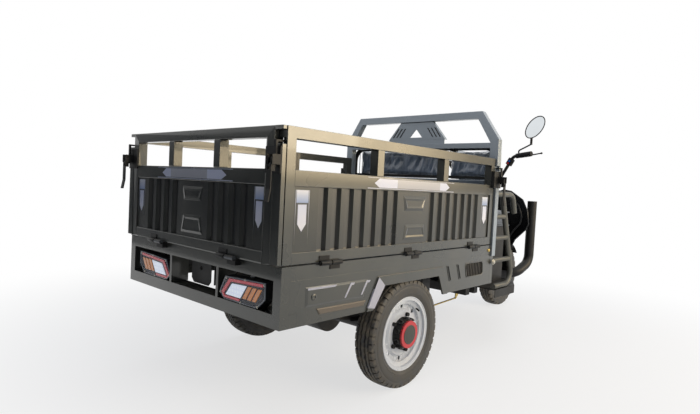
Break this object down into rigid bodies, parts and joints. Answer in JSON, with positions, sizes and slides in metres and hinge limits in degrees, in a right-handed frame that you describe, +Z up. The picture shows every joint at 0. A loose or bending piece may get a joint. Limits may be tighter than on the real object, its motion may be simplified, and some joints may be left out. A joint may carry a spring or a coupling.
{
  "type": "cargo tricycle",
  "caption": "Electric cargo tricycle with a drop-side load box, head guard, bench seat, motorcycle fork and handlebar, with working gates, latches, steering and suspension.",
  "frame": {"origin": "on the ground, in the middle of the overall length and width", "axes": "+X forward towards the front wheel, +Y to the driver's left, +Z up"},
  "size_m": [3.063, 1.22, 1.4255],
  "materials": {
    "body_paint": "gloss metallic",
    "black_metal": "satin",
    "bright_steel": "satin",
    "rim_steel": "satin",
    "tyre_rubber": "matte",
    "black_vinyl": "satin",
    "black_plastic": "gloss",
    "lamp_plastic": "gloss",
    "blue_plastic": "gloss",
    "red_plastic": "gloss"
  },
  "bodies": {
    "chassis": {"chassis_frame": "black_metal", "bed_frame": "body_paint", "cargo_floor": "body_paint", "side_skirts": "body_paint", "head_guard": "body_paint", "backrest_frame": "body_paint", "backrest_pads": "black_vinyl", "seat_box": "body_paint", "battery_and_controller": "black_plastic", "footboard": "body_paint", "side_guards": "body_paint", "tail_lamps": "lamp_plastic", "plate_bracket": "black_plastic", "hinge_pins": "bright_steel", "leaf_springs": "black_metal", "front_fairing": "black_plastic", "head_lamp": "lamp_plastic", "front_bumper": "body_paint", "brake_linkage": "black_metal"},
    "right_gate": {"right_gate_frame": "body_paint", "right_gate_panel": "body_paint", "right_gate_hardware": "black_metal"},
    "left_gate": {"left_gate_frame": "body_paint", "left_gate_panel": "body_paint", "left_gate_hardware": "black_metal"},
    "tailgate": {"tailgate_frame": "body_paint", "tailgate_panel": "body_paint", "tailgate_hardware": "black_metal"},
    "rear_axle": {"rear_axle": "black_metal", "drive_motor": "black_metal"},
    "left_rear_wheel": {"left_rear_tyre": "tyre_rubber", "left_rear_rim": "rim_steel", "left_rear_hub": "black_metal"},
    "right_rear_wheel": {"right_rear_tyre": "tyre_rubber", "right_rear_rim": "rim_steel", "right_rear_hub": "black_metal"},
    "steering": {"steering_fork": "bright_steel", "handlebar": "black_metal", "handlebar_controls": "black_plastic"},
    "fork": {"fork_sliders": "bright_steel", "front_mudguard": "black_plastic"},
    "front_wheel": {"front_tyre": "tyre_rubber", "front_rim": "rim_steel"},
    "rear_right_latch_lever": {"rear_right_latch_lever": "black_metal"},
    "rear_right_latch_hook": {"rear_right_latch_hook": "black_metal"},
    "rear_left_latch_lever": {"rear_left_latch_lever": "black_metal"},
    "rear_left_latch_hook": {"rear_left_latch_hook": "black_metal"},
    "front_right_latch_lever": {"front_right_latch_lever": "black_metal"},
    "front_right_latch_hook": {"front_right_latch_hook": "black_metal"},
    "front_left_latch_lever": {"front_left_latch_lever": "black_metal"},
    "front_left_latch_hook": {"front_left_latch_hook": "black_metal"},
    "throttle_grip": {"throttle_grip": "black_plastic"},
    "blue_button": {"blue_button": "blue_plastic"},
    "red_button": {"red_button": "red_plastic"},
    "right_brake_lever": {"right_brake_lever": "black_metal"},
    "left_brake_lever": {"left_brake_lever": "black_metal"},
    "right_mirror": {"right_mirror": "black_plastic"},
    "left_mirror": {"left_mirror": "black_plastic"},
    "seat_cushion": {"seat_cushion": "black_vinyl"},
    "brake_pedal": {"brake_pedal": "black_metal"}
  },
  "joints": [
    {"name": "right_gate_hinge", "type": "hinge", "parent": "chassis", "child": "right_gate", "pos_m": [0, -0.559, 0.609], "axis": [1, 0, 0], "range_deg": [0, 160]},
    {"name": "left_gate_hinge", "type": "hinge", "parent": "chassis", "child": "left_gate", "pos_m": [0, 0.559, 0.609], "axis": [-1, 0, 0], "range_deg": [0, 160]},
    {"name": "tailgate_hinge", "type": "hinge", "parent": "chassis", "child": "tailgate", "pos_m": [-1.4945, 0, 0.609], "axis": [0, -1, 0], "range_deg": [0, 170]},
    {"name": "rear_right_latch_lever_turn", "type": "hinge", "parent": "tailgate", "child": "rear_right_latch_lever", "pos_m": [-1.5145, -0.53, 0.965], "axis": [0, 1, 0], "range_deg": [0, 120]},
    {"name": "rear_right_latch_hook_turn", "type": "hinge", "parent": "rear_right_latch_lever", "child": "rear_right_latch_hook", "pos_m": [-1.5145, -0.53, 0.945], "axis": [0, 1, 0], "range_deg": [-120, 0]},
    {"name": "front_right_latch_lever_turn", "type": "hinge", "parent": "right_gate", "child": "front_right_latch_lever", "pos_m": [0.0475, -0.593, 0.965], "axis": [-1, 0, 0], "range_deg": [0, 120]},
    {"name": "front_right_latch_hook_turn", "type": "hinge", "parent": "front_right_latch_lever", "child": "front_right_latch_hook", "pos_m": [0.0475, -0.593, 0.945], "axis": [-1, 0, 0], "range_deg": [-120, 0]},
    {"name": "rear_left_latch_lever_turn", "type": "hinge", "parent": "tailgate", "child": "rear_left_latch_lever", "pos_m": [-1.5145, 0.53, 0.965], "axis": [0, 1, 0], "range_deg": [0, 120]},
    {"name": "rear_left_latch_hook_turn", "type": "hinge", "parent": "rear_left_latch_lever", "child": "rear_left_latch_hook", "pos_m": [-1.5145, 0.53, 0.945], "axis": [0, 1, 0], "range_deg": [-120, 0]},
    {"name": "front_left_latch_lever_turn", "type": "hinge", "parent": "left_gate", "child": "front_left_latch_lever", "pos_m": [0.0475, 0.593, 0.965], "axis": [1, 0, 0], "range_deg": [0, 120]},
    {"name": "front_left_latch_hook_turn", "type": "hinge", "parent": "front_left_latch_lever", "child": "front_left_latch_hook", "pos_m": [0.0475, 0.593, 0.945], "axis": [1, 0, 0], "range_deg": [-120, 0]},
    {"name": "rear_suspension", "type": "slide", "parent": "chassis", "child": "rear_axle", "axis": [0, 0, 1], "range_m": [-0.02, 0.03], "stiffness_N_per_m": 120000, "springref_m": -0.0163, "deforming": ["leaf_springs"]},
    {"name": "right_rear_wheel_spin", "type": "hinge", "parent": "rear_axle", "child": "right_rear_wheel", "pos_m": [-0.71349, -0.493, 0.245], "axis": [0, 1, 0], "continuous": true},
    {"name": "left_rear_wheel_spin", "type": "hinge", "parent": "rear_axle", "child": "left_rear_wheel", "pos_m": [-0.71349, 0.493, 0.245], "axis": [0, 1, 0], "continuous": true},
    {"name": "steering", "type": "hinge", "parent": "chassis", "child": "steering", "pos_m": [0.98822, 0, 0.79001], "axis": [-0.4226, 0, 0.9063], "range_deg": [-40, 40]},
    {"name": "fork_suspension", "type": "slide", "parent": "steering", "child": "fork", "axis": [-0.4226, 0, 0.9063], "range_m": [-0.02, 0.05], "stiffness_N_per_m": 30000, "springref_m": -0.03},
    {"name": "front_wheel_spin", "type": "hinge", "parent": "fork", "child": "front_wheel", "pos_m": [1.2865, 0, 0.245], "axis": [0, 1, 0], "continuous": true},
    {"name": "throttle_turn", "type": "hinge", "parent": "steering", "child": "throttle_grip", "pos_m": [0.8175, -0.41, 1.172], "axis": [-0.1822, -0.9763, 0.1166], "range_deg": [0, 70], "stiffness_Nm_per_rad": 0.25, "springref_deg": -28.65},
    {"name": "right_brake_squeeze", "type": "hinge", "parent": "steering", "child": "right_brake_lever", "pos_m": [0.86919, -0.31827, 1.16105], "axis": [0, -0.1186, -0.9929], "range_deg": [0, 15], "stiffness_Nm_per_rad": 3, "springref_deg": -17.19},
    {"name": "left_brake_squeeze", "type": "hinge", "parent": "steering", "child": "left_brake_lever", "pos_m": [0.86919, 0.31827, 1.16105], "axis": [0, -0.1186, 0.9929], "range_deg": [0, 15], "stiffness_Nm_per_rad": 3, "springref_deg": -17.19},
    {"name": "blue_button_press", "type": "slide", "parent": "steering", "child": "blue_button", "axis": [0.9889, -0.0826, 0.1235], "range_m": [0, 0.002], "stiffness_N_per_m": 400, "springref_m": -0.003},
    {"name": "red_button_press", "type": "slide", "parent": "steering", "child": "red_button", "axis": [0.9889, -0.0826, 0.1235], "range_m": [0, 0.002], "stiffness_N_per_m": 400, "springref_m": -0.003},
    {"name": "right_mirror_swivel", "type": "hinge", "parent": "steering", "child": "right_mirror", "pos_m": [0.8525, -0.392, 1.322], "axis": [0, 0, 1], "range_deg": [-20, 20]},
    {"name": "left_mirror_swivel", "type": "hinge", "parent": "steering", "child": "left_mirror", "pos_m": [0.8525, 0.392, 1.322], "axis": [0, 0, 1], "range_deg": [-20, 20]},
    {"name": "seat_hinge", "type": "hinge", "parent": "chassis", "child": "seat_cushion", "pos_m": [0.5125, 0, 0.676], "axis": [0, 1, 0], "range_deg": [0, 65]},
    {"name": "brake_pedal_press", "type": "hinge", "parent": "chassis", "child": "brake_pedal", "pos_m": [0.7745, -0.19, 0.392], "axis": [0, 1, 0], "range_deg": [0, 20], "stiffness_Nm_per_rad": 8, "springref_deg": -17.19}
  ],
  "couplings": [
    {"joint": "rear_right_latch_hook_turn", "follows": "rear_right_latch_lever_turn", "ratio": -1},
    {"joint": "front_right_latch_hook_turn", "follows": "front_right_latch_lever_turn", "ratio": -1},
    {"joint": "rear_left_latch_hook_turn", "follows": "rear_left_latch_lever_turn", "ratio": -1},
    {"joint": "front_left_latch_hook_turn", "follows": "front_left_latch_lever_turn", "ratio": -1}
  ]
}
